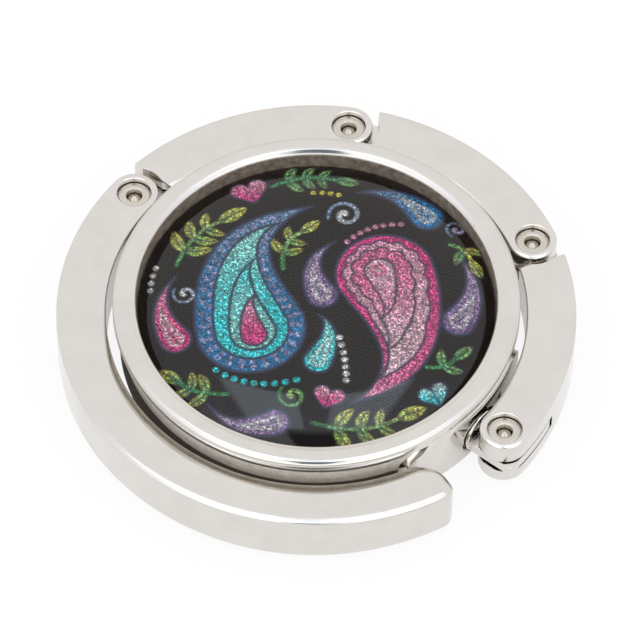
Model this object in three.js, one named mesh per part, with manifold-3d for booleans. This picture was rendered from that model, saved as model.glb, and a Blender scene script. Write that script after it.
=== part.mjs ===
// Folding purse hook, folded flat as it is carried: a round base with a print under a clear dome, and
// round it a ring made of a swivel knuckle, three links and a hook, riveted end to end.
// Millimetres, Z up. The origin is on the disc's axis at the underside of the friction pad. +X runs along
// the swivel axis, from the disc's centre through the boss to the first rivet.

import * as THREE from 'three';
import { mergeVertices } from 'three/addons/utils/BufferGeometryUtils.js';
import Module from 'manifold-3d';

const wasm = await Module();
wasm.setup();

// Base: a cast disc with a raised rim, an undercut wall below it and a boss for the swivel
const rim_radius = 17.5;
const rim_height = 1.16;
const rim_round = 0.38;
const rim_undercut = 0.5;
const base_underside = 0.4;
const foot_width = 1.7;
const foot_chamfer = 0.4;
const bezel_width = 1.5;
const lip_width = 0.5;
const lip_drop = 0.2;
const recess_depth = 1.95;
const boss_proud = 0.2;
const boss_underside = 0.6;
const boss_half_angle_deg = 19;
const boss_flare_deg = 3;
const wall_radius = rim_radius - rim_undercut;
const foot_inner_radius = wall_radius - foot_width;
const bezel_inner_radius = rim_radius - bezel_width;
const print_recess_radius = bezel_inner_radius - lip_width;
const boss_radius = rim_radius + boss_proud;

// Friction pad and its adhesive, set in the underside of the base
const pad_thickness = 1;
const pad_fit = 0.3;
const pad_chamfer = 0.2;
const adhesive_thickness = 0.2;
const adhesive_margin = 0.4;
const pad_radius = foot_inner_radius - pad_fit;
const adhesive_radius = pad_radius - adhesive_margin;
const pad_recess_ceiling = pad_thickness + adhesive_thickness;

// Heights: the swivel axis lies high enough for the ring to clear the table and the washer the pad, and
// the print's seat above the washer's pocket
const ring_lift = 0.3;
const ring_height = 4.9;
const washer_radius = 1.45;
const washer_lift = 0.1;
const pocket_roof = 0.6;
const ring_middle = Math.max(ring_lift + ring_height / 2, pad_recess_ceiling + washer_lift + washer_radius);
const ring_bottom = ring_middle - ring_height / 2;
const ring_top = ring_middle + ring_height / 2;
const pocket_top = ring_middle + washer_radius + washer_lift;
const print_seat_height = pocket_top + pocket_roof;
const rim_top = print_seat_height + recess_depth;
const rim_underside = rim_top - rim_height;

// Print and clear dome, set in the top of the base
const print_fit = 0.15;
const print_thickness = 0.3;
const dome_edge_height = 0.3;
const dome_rise = 1.6;
const dome_power = 2.6;
const print_radius = print_recess_radius - print_fit;
const dome_seat_height = print_seat_height + print_thickness;

// Ring: it can turn right round the disc on the swivel, so its inside clears the disc's farthest corners
const ring_width = 4.25;
const ring_chamfer = 0.35;
const swivel_clearance = 0.16;
const boss_reach = Math.hypot(boss_radius, rim_underside - ring_middle);
const rim_reach = Math.hypot(rim_radius - rim_round, rim_top - rim_round - ring_middle) + rim_round;
const ring_inner_radius = Math.max(boss_reach, rim_reach) + swivel_clearance;
const ring_outer_radius = ring_inner_radius + ring_width;
const pin_circle_radius = ring_inner_radius + ring_width / 2;

// Hinges: each piece has two ears at one end and a tongue between the next piece's ears at the other
const link_angle_deg = 60;
const tongue_height = 1;
const tongue_drop = 0.75;
const gap_below_tongue = 0.25;
const gap_above_tongue = 0.15;
const end_gap = 0.6;
const horn_setback = 2.5;
const ear_radius = ring_width / 2;
const tongue_bottom = ring_middle - tongue_drop;
const tongue_top = tongue_bottom + tongue_height;

// Rivets: a flanged sleeve from above, and a headed pin pressed into it from below
const sleeve_radius = 1;
const sleeve_wall = 0.3;
const rivet_fit = 0.12;
const pin_fit = 0.08;
const flange_overhang = 0.38;
const flange_thickness = 0.35;
const counterbore_fit = 0.12;
const counterbore_depth = 0.8;
const sleeve_end_gap = 0.15;
const pin_dome_rise = 0.3;
const pin_dome_depth = 0.6;
const flange_radius = sleeve_radius + flange_overhang;
const rivet_hole_radius = sleeve_radius + rivet_fit;
const counterbore_radius = flange_radius + counterbore_fit;
const upper_seat = ring_top - counterbore_depth;
const lower_seat = ring_bottom + counterbore_depth;
const sleeve_bore_radius = sleeve_radius - sleeve_wall;
const rivet_pin_radius = sleeve_bore_radius - pin_fit;

// Hook: the long last piece of the ring, with a shallow finger bevel inside its top edge
const hook_sweep_deg = 160.5;
const tip_inner_round = 2.4;
const tip_outer_round = 1.3;
const round_handle = 0.55;
const bevel_circle_offset = 1.08;
const bevel_circle_grow = 0.17;
const bevel_slope_share = 0.32;
const bevel_depth = 0.7;
const bevel_direction_deg = 120;

// Swivel: the knuckle's shank turns in the boss and is peened over a washer in a pocket under the base
const shank_radius = 0.9;
const shank_fit = 0.12;
const axial_gap = 0.1;
const ear_to_knuckle_gap = 0.2;
const knuckle_flange_radius = 2;
const knuckle_flange_thickness = 0.4;
const knuckle_setback = 1.85;
const knuckle_reach = 4.6;
const knuckle_slot_gap = 0.35;
const collar_thickness = 0.45;
const seat_clearance = 0.25;
const boss_wall = 2.6;
const washer_thickness = 0.6;
const peen_overhang = 0.4;
const peen_thickness = 0.5;
const pocket_clearance = 0.3;
const knuckle_flange_outer = ring_inner_radius - ear_to_knuckle_gap;
const knuckle_flange_inner = knuckle_flange_outer - knuckle_flange_thickness;
const collar_outer = knuckle_flange_inner - axial_gap;
const collar_inner = collar_outer - collar_thickness;
const boss_seat = collar_inner - axial_gap;
const pocket_outer = boss_seat - boss_wall;
const washer_outer = pocket_outer - axial_gap;
const washer_inner = washer_outer - washer_thickness;
const peen_outer = washer_inner - axial_gap;
const peen_inner = peen_outer - peen_thickness;
const pocket_inner = peen_inner - pocket_clearance;
const shank_bore_radius = shank_radius + shank_fit;

// Facets of round surfaces, and how far cutting shapes run past what they cut
const disc_segments = 72;
const small_segments = 24;
const arc_step_deg = 5;
const dome_steps = 8;
const round_steps = 3;
const cut_overrun = 1;

// Materials
const nickel = { color: 0xd9d6d1, roughness: 0.16, metalness: 1 };
const rivet_nickel = { color: 0xcdc8c0, roughness: 0.2, metalness: 1 };
const print_black = { color: 0x1b1718, roughness: 0.5, metalness: 0 };
const clear_resin = { color: 0xf2f4f5, roughness: 0.03, metalness: 0, transparent: true, opacity: 0.25 };
const black_rubber = { color: 0x202022, roughness: 0.85, metalness: 0 };
const tape_white = { color: 0xe6e2d8, roughness: 0.7, metalness: 0 };

function radians(degrees) {
  return THREE.MathUtils.degToRad(degrees);
}

// A closed geometry as a solid that can be joined and cut
function solid(geometry) {
  geometry.deleteAttribute('normal');
  geometry.deleteAttribute('uv');
  const merged = mergeVertices(geometry);
  const index = merged.index.array;
  const corners = [];
  for (let i = 0; i < index.length; i += 3) {
    const [a, b, c] = [index[i], index[i + 1], index[i + 2]];
    if (a !== b && b !== c && c !== a) {
      corners.push(a, b, c);
    }
  }
  const vertices = new Float32Array(merged.attributes.position.array);
  const mesh = new wasm.Mesh({ numProp: 3, vertProperties: vertices, triVerts: new Uint32Array(corners) });
  return new wasm.Manifold(mesh);
}

// A solid back as a geometry that a mesh can hold
function surface(body) {
  const mesh = body.getMesh();
  const geometry = new THREE.BufferGeometry();
  geometry.setAttribute('position', new THREE.BufferAttribute(new Float32Array(mesh.vertProperties), 3));
  geometry.setIndex(new THREE.BufferAttribute(new Uint32Array(mesh.triVerts), 1));
  geometry.computeVertexNormals();
  return geometry;
}

// A flat shape raised from one height to another
function prism(shape, bottom, top, steps) {
  const options = { depth: top - bottom, bevelEnabled: false, curveSegments: steps };
  const geometry = new THREE.ExtrudeGeometry(shape, options);
  geometry.translate(0, 0, bottom);
  return solid(geometry);
}

// A profile of radius and height turned round Z
function turned(profile, segments) {
  const points = profile.map(([radius, height]) => new THREE.Vector2(radius, height));
  const geometry = new THREE.LatheGeometry(points, segments);
  geometry.rotateX(Math.PI / 2);
  return solid(geometry);
}

// An upright disc about the first rivet's axis, on the pin circle at angle zero
function upright_disc(radius, bottom, top) {
  const profile = [[0, bottom], [radius, bottom], [radius, top], [0, top]];
  return turned(profile, small_segments).translate([pin_circle_radius, 0, 0]);
}

// The round end of a ring piece about the first rivet's axis, with the ring's chamfers
function ear_disc() {
  const flat_radius = ear_radius - ring_chamfer;
  return turned([
    [0, ring_bottom],
    [flat_radius, ring_bottom],
    [ear_radius, ring_bottom + ring_chamfer],
    [ear_radius, ring_top - ring_chamfer],
    [flat_radius, ring_top],
    [0, ring_top],
  ], small_segments).translate([pin_circle_radius, 0, 0]);
}

// The whole ring between two heights, chamfered along its edges
function ring_band(bottom, top, chamfer) {
  return turned([
    [ring_inner_radius + chamfer, bottom],
    [ring_outer_radius - chamfer, bottom],
    [ring_outer_radius, bottom + chamfer],
    [ring_outer_radius, top - chamfer],
    [ring_outer_radius - chamfer, top],
    [ring_inner_radius + chamfer, top],
    [ring_inner_radius, top - chamfer],
    [ring_inner_radius, bottom + chamfer],
    [ring_inner_radius + chamfer, bottom],
  ], disc_segments);
}

// A round bar along the swivel axis
function axial_bar(radius, start, end) {
  const profile = [[0, start], [radius, start], [radius, end], [0, end]];
  return turned(profile, small_segments).rotate([0, 90, 0]).translate([0, 0, ring_middle]);
}

function block(low, high) {
  const size = high.map((value, axis) => value - low[axis]);
  const geometry = new THREE.BoxGeometry(...size);
  geometry.translate(...high.map((value, axis) => (value + low[axis]) / 2));
  return solid(geometry);
}

// A stretch of the ring from angle zero to the sweep, square at the start and with the given end rounds
function ring_stretch(sweep, inner_round, outer_round) {
  const at = (radius, angle) => [radius * Math.cos(angle), radius * Math.sin(angle)];
  const outer_end = sweep - outer_round / ring_outer_radius;
  const inner_end = sweep - inner_round / ring_inner_radius;
  const rest = 1 - round_handle;
  const outer_bend = sweep - (rest * outer_round) / ring_outer_radius;
  const inner_bend = sweep - (rest * inner_round) / ring_inner_radius;
  const shape = new THREE.Shape();
  shape.absarc(0, 0, ring_outer_radius + cut_overrun, 0, outer_end, false);
  shape.lineTo(...at(ring_outer_radius, outer_end));
  shape.bezierCurveTo(
    ...at(ring_outer_radius, outer_bend),
    ...at(ring_outer_radius - rest * outer_round, sweep),
    ...at(ring_outer_radius - outer_round, sweep),
  );
  shape.lineTo(...at(ring_inner_radius + inner_round, sweep));
  shape.bezierCurveTo(
    ...at(ring_inner_radius + rest * inner_round, sweep),
    ...at(ring_inner_radius, inner_bend),
    ...at(ring_inner_radius, inner_end),
  );
  shape.absarc(0, 0, ring_inner_radius - cut_overrun, inner_end, 0, true);
  shape.closePath();
  const steps = Math.ceil(THREE.MathUtils.radToDeg(sweep) / arc_step_deg);
  const room = prism(shape, ring_bottom - cut_overrun, ring_top + cut_overrun, steps);
  return ring_band(ring_bottom, ring_top, ring_chamfer).intersect(room);
}

// The room a neighbour needs at a hinge: a round about the pin, and the ring squared off past the horns.
// Side is +1 where the neighbour lies towards larger angles and -1 where it lies towards smaller ones.
function hinge_room(radius, setback, side, bottom, top) {
  const far = ear_radius + cut_overrun;
  const span = side > 0 ? [-setback, far] : [-far, setback];
  const low = [ring_inner_radius - cut_overrun, span[0], bottom];
  const high = [ring_outer_radius + cut_overrun, span[1], top];
  return block(low, high).add(upright_disc(radius, bottom, top));
}

// The eared start of a link or of the hook, at angle zero: rounded ears, slot, hole and counterbores
function with_ears(body, slot_radius) {
  const slot_bottom = tongue_bottom - gap_below_tongue;
  const slot_top = tongue_top + gap_above_tongue;
  return body
    .add(ear_disc())
    .subtract(hinge_room(slot_radius, horn_setback, -1, slot_bottom, slot_top))
    .subtract(upright_disc(rivet_hole_radius, ring_bottom - cut_overrun, ring_top + cut_overrun))
    .subtract(upright_disc(counterbore_radius, upper_seat, ring_top + cut_overrun))
    .subtract(upright_disc(counterbore_radius, ring_bottom - cut_overrun, lower_seat));
}

// The tongued end of a link, at the link angle: shoulders that clear the next ears, tongue and hole
function with_tongue(body) {
  const shoulder_radius = ear_radius + end_gap;
  const at_end = (piece) => piece.rotate([0, 0, link_angle_deg]);
  const below = hinge_room(shoulder_radius, horn_setback, 1, ring_bottom - cut_overrun, tongue_bottom);
  const above = hinge_room(shoulder_radius, horn_setback, 1, tongue_top, ring_top + cut_overrun);
  const hole = upright_disc(rivet_hole_radius, ring_bottom - cut_overrun, ring_top + cut_overrun);
  return body
    .subtract(at_end(below))
    .subtract(at_end(above))
    .add(at_end(upright_disc(ear_radius, tongue_bottom, tongue_top)))
    .subtract(at_end(hole));
}

function link_body(slot_radius) {
  const bar = ring_stretch(radians(link_angle_deg), 0, 0);
  return with_ears(with_tongue(bar), slot_radius);
}

function hook_body() {
  const bar = ring_stretch(radians(hook_sweep_deg), tip_inner_round, tip_outer_round);
  const circle = ring_inner_radius + bevel_circle_grow;
  const low = circle - bevel_depth / bevel_slope_share;
  const high = circle + cut_overrun / bevel_slope_share;
  const [start, end] = [ring_top - bevel_depth, ring_top + cut_overrun];
  const cone = turned([[0, start], [low, start], [high, end], [0, end]], disc_segments);
  const direction = radians(bevel_direction_deg);
  const offset = [bevel_circle_offset * Math.cos(direction), bevel_circle_offset * Math.sin(direction), 0];
  return with_ears(bar, ear_radius + end_gap).subtract(cone.translate(offset));
}

// The base's casting: turned disc, boss, swivel bore, seat for the collar and pocket for the washer
function base_casting() {
  const outline = [
    [0, pad_recess_ceiling],
    [foot_inner_radius, pad_recess_ceiling],
    [foot_inner_radius, base_underside],
    [wall_radius - foot_chamfer, base_underside],
    [wall_radius, base_underside + foot_chamfer],
    [wall_radius, rim_underside],
    [rim_radius, rim_underside],
  ];
  for (let step = 0; step <= round_steps; step += 1) {
    const angle = (Math.PI / 2) * (step / round_steps);
    const radius = rim_radius - rim_round + rim_round * Math.cos(angle);
    outline.push([radius, rim_top - rim_round + rim_round * Math.sin(angle)]);
  }
  outline.push(
    [bezel_inner_radius, rim_top],
    [print_recess_radius, rim_top - lip_drop],
    [print_recess_radius, print_seat_height],
    [0, print_seat_height],
  );
  const past_all = boss_radius + cut_overrun;
  const pocket_half = washer_radius + pocket_clearance;
  const pocket_low = [pocket_inner, -pocket_half, pad_recess_ceiling - cut_overrun];
  const pocket_high = [pocket_outer, pocket_half, pocket_top];
  return turned(outline, disc_segments)
    .add(boss_block())
    .subtract(axial_bar(shank_bore_radius, pocket_inner, past_all))
    .subtract(axial_bar(knuckle_flange_radius + seat_clearance, boss_seat, past_all))
    .subtract(block(pocket_low, pocket_high));
}

// The boss: a stretch of wall brought out past the rim, flaring back into the undercut at both ends
function boss_block() {
  const half = radians(boss_half_angle_deg);
  const flare = radians(boss_half_angle_deg + boss_flare_deg);
  const root = wall_radius - foot_width / 2;
  const at = (radius, angle) => [radius * Math.cos(angle), radius * Math.sin(angle)];
  const shape = new THREE.Shape();
  shape.absarc(0, 0, root, flare, -flare, true);
  shape.lineTo(...at(wall_radius, -flare));
  shape.quadraticCurveTo(...at(wall_radius, -half), ...at(boss_radius, -half));
  shape.absarc(0, 0, boss_radius, -half, half, false);
  shape.quadraticCurveTo(...at(wall_radius, half), ...at(wall_radius, flare));
  shape.closePath();
  return prism(shape, boss_underside, rim_underside, Math.ceil((2 * boss_half_angle_deg) / arc_step_deg));
}

// The knuckle: flange, tongue with the first rivet's hole, and the peened shank in the boss. The tongue
// fills the ring's section between the first link's ears, from a square edge to a round one past the pin.
function knuckle_body() {
  const neck_low = [knuckle_flange_outer, -knuckle_setback, tongue_bottom];
  const neck_high = [pin_circle_radius, knuckle_setback, tongue_top];
  const room_low = [ring_inner_radius - cut_overrun, -knuckle_setback, tongue_bottom - cut_overrun];
  const room_high = [ring_outer_radius + cut_overrun, knuckle_reach, tongue_top + cut_overrun];
  const tongue = ring_band(tongue_bottom, tongue_top, 0)
    .intersect(upright_disc(knuckle_reach, tongue_bottom - cut_overrun, tongue_top + cut_overrun))
    .intersect(block(room_low, room_high));
  return axial_bar(knuckle_flange_radius, knuckle_flange_inner, knuckle_flange_outer)
    .add(block(neck_low, neck_high))
    .add(tongue)
    .add(axial_bar(shank_radius, peen_inner, knuckle_flange_inner))
    .add(axial_bar(shank_radius + peen_overhang, peen_inner, peen_outer))
    .subtract(upright_disc(rivet_hole_radius, ring_bottom, ring_top));
}

function axial_washer(radius, start, end) {
  const hole = axial_bar(shank_bore_radius, start - cut_overrun, end + cut_overrun);
  return axial_bar(radius, start, end).subtract(hole);
}

// The rivet's flanged sleeve, about its own axis
function sleeve_body() {
  return turned([
    [sleeve_bore_radius, lower_seat + sleeve_end_gap],
    [sleeve_radius, lower_seat + sleeve_end_gap],
    [sleeve_radius, upper_seat],
    [flange_radius, upper_seat],
    [flange_radius, upper_seat + flange_thickness],
    [sleeve_bore_radius, upper_seat + flange_thickness],
    [sleeve_bore_radius, lower_seat + sleeve_end_gap],
  ], small_segments);
}

// The rivet's headed pin, about its own axis, with a domed end inside the sleeve
function rivet_pin_body() {
  const head_bottom = lower_seat - flange_thickness;
  const dome_top = ring_top - pin_dome_depth;
  return turned([
    [0, head_bottom],
    [flange_radius, head_bottom],
    [flange_radius, lower_seat],
    [rivet_pin_radius, lower_seat],
    [rivet_pin_radius, dome_top - pin_dome_rise],
    [rivet_pin_radius / 2, dome_top - pin_dome_rise / 4],
    [0, dome_top],
  ], small_segments);
}

function dome_body() {
  const bottom = dome_seat_height;
  const edge = bottom + dome_edge_height;
  const profile = [[0, bottom], [print_radius, bottom]];
  for (let step = 0; step <= dome_steps; step += 1) {
    const share = Math.cos((Math.PI / 2) * (step / dome_steps));
    profile.push([print_radius * share, edge + dome_rise * (1 - share ** dome_power)]);
  }
  profile[profile.length - 1][0] = 0;
  return turned(profile, disc_segments);
}

function pad_body() {
  return turned([
    [0, 0],
    [pad_radius - pad_chamfer, 0],
    [pad_radius, pad_chamfer],
    [pad_radius, pad_thickness],
    [0, pad_thickness],
  ], disc_segments);
}

function plain_disc(radius, bottom, top) {
  return turned([[0, bottom], [radius, bottom], [radius, top], [0, top]], disc_segments);
}

const purse_hook = new THREE.Group();

function add_piece(name, body, look, parent = purse_hook) {
  const mesh = new THREE.Mesh(surface(body), new THREE.MeshStandardMaterial(look));
  mesh.name = name;
  parent.add(mesh);
  return mesh;
}

// One stretch of the ring: its piece turned to its place, with the rivet through its ears
function add_ring_piece(number, name, body) {
  const stretch = new THREE.Group();
  stretch.rotation.z = radians(link_angle_deg) * (number - 1);
  purse_hook.add(stretch);
  add_piece(name, body, nickel, stretch);
  const sleeve = add_piece(`rivet_sleeve_${number}`, sleeve_body(), rivet_nickel, stretch);
  const pin = add_piece(`rivet_pin_${number}`, rivet_pin_body(), rivet_nickel, stretch);
  sleeve.position.x = pin_circle_radius;
  pin.position.x = pin_circle_radius;
}

add_piece('base_body', base_casting(), nickel);
add_piece('print_disc', plain_disc(print_radius, print_seat_height, dome_seat_height), print_black);
add_piece('resin_dome', dome_body(), clear_resin);
add_piece('friction_pad', pad_body(), black_rubber);
add_piece('pad_adhesive', plain_disc(adhesive_radius, pad_thickness, pad_recess_ceiling), tape_white);
add_piece('swivel_collar', axial_washer(knuckle_flange_radius, collar_inner, collar_outer), rivet_nickel);
add_piece('swivel_washer', axial_washer(washer_radius, washer_inner, washer_outer), rivet_nickel);
add_piece('swivel_knuckle', knuckle_body(), nickel);
add_ring_piece(1, 'link_1', link_body(knuckle_reach + knuckle_slot_gap));
add_ring_piece(2, 'link_2', link_body(ear_radius + end_gap));
add_ring_piece(3, 'link_3', link_body(ear_radius + end_gap));
add_ring_piece(4, 'hook', hook_body());

export default purse_hook;
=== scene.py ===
"""Dressed model of a folding purse hook, folded flat: a round base with a glitter print under clear resin,
and a riveted ring of a swivel knuckle, three links and a hook round it. Metres, Z up, in the frame of the
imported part. Sizes below are in millimetres and angles in degrees, as on a maker's drawing."""
import math
import bpy
import numpy as np
from mathutils import Matrix


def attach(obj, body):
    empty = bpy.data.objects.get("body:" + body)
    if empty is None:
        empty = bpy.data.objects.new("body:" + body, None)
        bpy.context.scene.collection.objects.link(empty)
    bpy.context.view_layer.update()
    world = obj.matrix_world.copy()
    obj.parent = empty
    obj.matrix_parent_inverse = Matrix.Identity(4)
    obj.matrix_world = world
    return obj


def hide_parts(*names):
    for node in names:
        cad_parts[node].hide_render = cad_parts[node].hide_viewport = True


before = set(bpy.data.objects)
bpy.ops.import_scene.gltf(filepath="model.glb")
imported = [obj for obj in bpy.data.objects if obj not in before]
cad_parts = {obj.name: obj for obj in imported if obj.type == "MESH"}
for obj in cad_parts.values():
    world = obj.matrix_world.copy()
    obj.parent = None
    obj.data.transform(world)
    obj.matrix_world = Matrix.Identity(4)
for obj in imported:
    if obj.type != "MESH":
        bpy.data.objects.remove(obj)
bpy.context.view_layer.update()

MM = 0.001

# Base casting
RIM_RADIUS = 17.5
RIM_TOP = 6.85
RIM_UNDERSIDE = 5.69
RIM_ROUND = 0.46
RIM_CROWN = 0.3
RIM_UNDER_ROUND = 0.1
WALL_RADIUS = 17.0
FOOT_INNER_RADIUS = 15.3
FOOT_UNDERSIDE = 0.4
FOOT_CHAMFER = 0.4
BEZEL_INNER_RADIUS = 16.0
PRINT_RECESS_RADIUS = 15.5
LIP_STEP = 0.16
LIP_DROP = 0.18
PAD_RECESS_CEILING = 1.2
PRINT_SEAT = 4.9
BOSS_RADIUS = 17.7
BOSS_UNDERSIDE = 0.6
BOSS_HALF_ANGLE = 19.0
BOSS_FLARE = 3.0
BOSS_FOOT_ANGLE = 26.5
BOSS_SPREAD_FROM = 5.69
BOSS_SPREAD_TO = 3.7
BOSS_SPREAD_STEPS = 4
BOSS_ROOT = 0.85  # how far the boss reaches into the wall
BOSS_CAP = ((5.82, 17.68), (5.95, 17.64), (6.08, 17.57), (6.22, 17.43), (6.34, 17.2))  # height, radius

# Where the base's casting shows: the wall as cast, with a painted shade at its foot, and the glue in the
# print's recess
CAST_INNER = 16.8
CAST_OUTER = 17.1
CAST_TOP = 5.75
PAINTED_SHADE_TOP = 3.4
GLUE_OUTER = 15.58
GLUE_BOTTOM = 4.7

# Print, resin and pad
PRINT_RADIUS = 15.35
PRINT_TOP = 5.2
PRINT_STEPS = 288
RESIN_EDGE = 0.3
RESIN_RISE = 1.6
RESIN_POWER = 4.4
RESIN_SHOULDER = 1.2
RESIN_ROLL = 0.2
RESIN_STEPS = 72
PAD_RADIUS = 15.0
PAD_THICKNESS = 1.0
PAD_ROUND = 0.25

# Ring
RING_MIDDLE = 2.75
RING_BOTTOM = 0.3
RING_TOP = 5.2
RING_INNER = 18.1025
RING_OUTER = 22.3525
PIN_CIRCLE = 20.2275
FIRST_PIN = (PIN_CIRCLE, 0.0)
EAR_RADIUS = 2.125
TOP_ROUND = 0.16
TOP_CROWN = 0.35
HOOK_CROWN = 0.78
CROWN_TILT = 14.0
UNDER_ROUND = 0.3
TONGUE_BOTTOM = 2.0
TONGUE_TOP = 3.0
SLOT_BOTTOM = 1.75
SLOT_TOP = 3.15
SHOULDER_RADIUS = 2.725
KNUCKLE_SLOT_RADIUS = 4.95
HORN_SETBACK = 2.5
LINK_ANGLE = 60.0
HOOK_SWEEP = 160.5
TIP_INNER_ROUND = 2.4
TIP_OUTER_ROUND = 1.3
TIP_TOP_ROUND = 0.5
TIP_END_ROUND = 0.85
TIP_CROWN = 0.3
TIP_UNDER_ROUND = 0.6
FINGER_BEVEL_OFFSET = 1.08
FINGER_BEVEL_GROW = 0.17
FINGER_BEVEL_DEPTH = 0.36
FINGER_BEVEL_DIRECTION = 120.0
FINGER_BEVEL_LEAST = 0.4

# Where the hook's edges change: from and to, in degrees from its rivet, and for the bevel in its width
CROWN_WIDENS = (40.0, 100.0)
TIP_EDGE_RUN = (136.0, 157.0)
UNDER_OUTER_RUN = (120.0, 155.0)
UNDER_INNER_RUN = (120.0, 150.0)
FINGER_BEVEL_OPENS = (0.35, 0.75)

# Rivets
RIVET_HOLE = 1.12
COUNTERBORE_RADIUS = 1.5
UPPER_SEAT = 4.4
LOWER_SEAT = 1.1
FLANGE_RADIUS = 1.38
FLANGE_THICKNESS = 0.35
SLEEVE_RADIUS = 1.0
SLEEVE_BORE = 0.7
SLEEVE_BOTTOM = 1.25
PIN_RADIUS = 0.62
PIN_TOP = 4.6
PIN_DOME = ((0.0, 0.46), (0.03, 0.4), (0.12, 0.32), (0.31, 0.17), (0.496, 0.05), (0.589, 0.0))  # in, down

# Swivel
SEAT_RADIUS = 2.25
SEAT_FACE = 16.8525
COLLAR_INNER = 16.9525
COLLAR_OUTER = 17.4025
KNUCKLE_INNER = 17.5025
KNUCKLE_OUTER = 17.9025
KNUCKLE_RADIUS = 2.0
KNUCKLE_HALF_WIDTH = 1.85
KNUCKLE_REACH = 4.6
SHANK_RADIUS = 0.9
SHANK_BORE = 1.02
POCKET_INNER = 12.6525
POCKET_OUTER = 14.2525
POCKET_HALF_WIDTH = 1.75
POCKET_TOP = 4.3
PEEN_INNER = 12.9525
PEEN_OUTER = 13.4525
PEEN_RADIUS = 1.3

# Steps of round shapes
RING_STEPS = 180
EAR_STEPS = 96
ROUND_PIECE_STEPS = 64
SMALL_STEPS = 48
ROUND_STEPS = 7
CROWN_STEPS = 4

# Work on the meshes: how far a cutting shape runs past what it cuts, what is welded (in metres), and edges
PAST = 1.0
WELD = 2e-6
DOUBLED = 1e-7
FLAT_ANGLE = 0.3
EDGE_ANGLE = 38.0
EDGE_ROUND = 0.06

# Camera and table. The aim and the picture's width are in pixels
PLAN_TURN = 37.5
ELEVATION = 53.9
ROLL = 0.7
CAMERA_DISTANCE = 450.0
PIXELS_PER_MM = 11.53
PICTURE = 640.0
AIM = (316.0, 343.5)
SENSOR = 36.0
FLOOR_SIZE = 4.0  # metres
FLOOR_GAP = 0.02
SHADOW_REACH = 6.0


# ---- modelling

def pick(piece):
    """The piece alone is selected and active."""
    bpy.ops.object.select_all(action="DESELECT")
    piece.select_set(True)
    bpy.context.view_layer.objects.active = piece


def edit(piece=None):
    """The piece, or else the active one, is in edit mode with all of it selected."""
    if piece:
        pick(piece)
    bpy.ops.object.mode_set(mode="EDIT")
    bpy.ops.mesh.select_all(action="SELECT")


def leave(piece):
    """The piece is out of edit mode."""
    bpy.ops.object.mode_set(mode="OBJECT")
    return piece


def named(name):
    """The object just added, out of edit mode and named."""
    if bpy.context.mode != "OBJECT":
        bpy.ops.object.mode_set(mode="OBJECT")
    piece = bpy.context.view_layer.objects.active
    piece.name = piece.data.name = name
    return piece


def apply_place(piece):
    """The piece's place, turn and size go into its mesh."""
    pick(piece)
    bpy.ops.object.transform_apply(location=True, rotation=True, scale=True)
    return piece


def face_outwards(piece):
    """Doubled points are joined, and all faces point outwards."""
    edit(piece)
    bpy.ops.mesh.remove_doubles(threshold=DOUBLED)
    bpy.ops.mesh.normals_make_consistent(inside=False)
    return leave(piece)


def draw_up(rise, share=1.0, centre=(0.0, 0.0, 0.0)):
    """What is selected is extruded upwards, and sized about a centre."""
    bpy.ops.mesh.extrude_region_move(TRANSFORM_OT_translate={"value": (0.0, 0.0, rise * MM)})
    if share != 1.0:
        bpy.ops.transform.resize(value=(share, share, 1.0), center_override=[part * MM for part in centre])


def draw_outline(points, height):
    """A flat face inside an outline of (x, y) points, left in edit mode with all of it selected."""
    bpy.ops.object.select_all(action="DESELECT")
    bpy.ops.mesh.primitive_plane_add(size=MM, location=(points[0][0] * MM, points[0][1] * MM, height * MM))
    edit()
    bpy.ops.mesh.merge(type="CENTER")
    for before, after in zip(points, points[1:]):
        step = ((after[0] - before[0]) * MM, (after[1] - before[1]) * MM, 0.0)
        bpy.ops.mesh.extrude_region_move(TRANSFORM_OT_translate={"value": step})
    bpy.ops.mesh.select_all(action="SELECT")
    bpy.ops.mesh.edge_face_add()


def turned(name, outline, steps=RING_STEPS, centre=(0.0, 0.0), hollow=False):
    """A round solid about Z. The outline lists (radius, height) from one face out and round to the other
    face, or all the way round a section where the solid is hollow."""
    bpy.ops.object.select_all(action="DESELECT")
    radius, height = outline[0]
    bpy.ops.mesh.primitive_circle_add(
        vertices=steps, radius=radius * MM, fill_type="NOTHING" if hollow else "NGON",
        location=[part * MM for part in (*centre, height)])
    edit()
    for next_radius, next_height in outline[1:]:
        draw_up(next_height - height, next_radius / radius, (*centre, next_height))
        radius, height = next_radius, next_height
    return face_outwards(apply_place(named(name)))


def outlined(name, points, bottom, top, further=()):
    """A flat outline of (x, y) points raised from one height to another, and on to further heights, each
    with its size against the one before."""
    draw_outline(points, bottom)
    draw_up(top - bottom)
    height = top
    for next_height, share in further:
        draw_up(next_height - height, share)
        height = next_height
    return face_outwards(apply_place(named(name)))


def block(name, low, high):
    """A block between two corners."""
    bpy.ops.object.select_all(action="DESELECT")
    bpy.ops.mesh.primitive_cube_add(size=1.0, location=[(a + b) / 2 * MM for a, b in zip(low, high)],
                                    scale=[(b - a) * MM for a, b in zip(low, high)])
    return apply_place(named(name))


def rod(name, radius, bottom, top, steps=SMALL_STEPS):
    """An upright rod about the first rivet, to cut with or to join on."""
    return turned(name, [(radius, bottom), (radius, top)], steps, FIRST_PIN)


def along_swivel(name, outline, steps=SMALL_STEPS, hollow=False):
    """A round solid along the swivel's axis. The outline lists (radius, distance from the disc's axis)."""
    piece = turned(name, outline, steps, hollow=hollow)
    piece.rotation_euler = (0.0, math.radians(90.0), 0.0)
    piece.location = (0.0, 0.0, RING_MIDDLE * MM)
    return apply_place(piece)


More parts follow.
